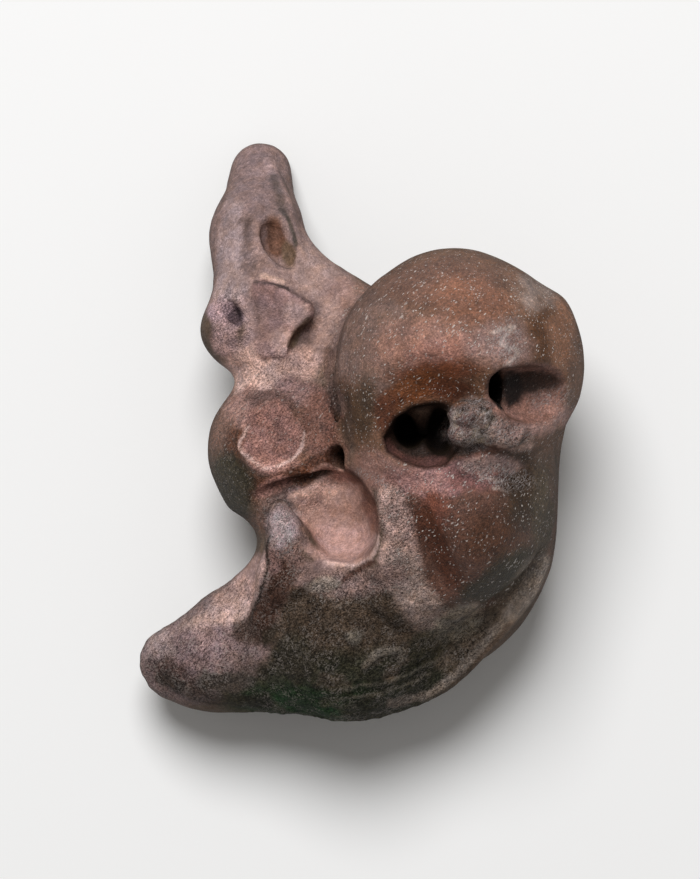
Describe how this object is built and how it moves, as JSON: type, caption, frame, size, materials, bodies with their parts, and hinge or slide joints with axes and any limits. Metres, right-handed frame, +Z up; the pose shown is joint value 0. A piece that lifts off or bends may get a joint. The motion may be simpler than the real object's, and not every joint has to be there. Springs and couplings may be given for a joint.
{
  "type": "fossil dolphin ear bone",
  "caption": "Fossil ear bone of a dolphin, a still solid with a smooth hearing dome, its open windows, a front and a back process and a nerve funnel underneath.",
  "frame": {"origin": "middle of the bone's footprint, at the level it rests on", "axes": "+Z up, +Y towards the tip of the front process, +X towards the hearing dome"},
  "size_m": [0.028, 0.0366, 0.0195],
  "materials": {
    "fossil_bone": "mineralised bone, red-brown to grey-brown, softly glossy where smooth and matt where rough"
  },
  "bodies": {
    "root": {"periotic": "fossil_bone"}
  },
  "joints": []
}
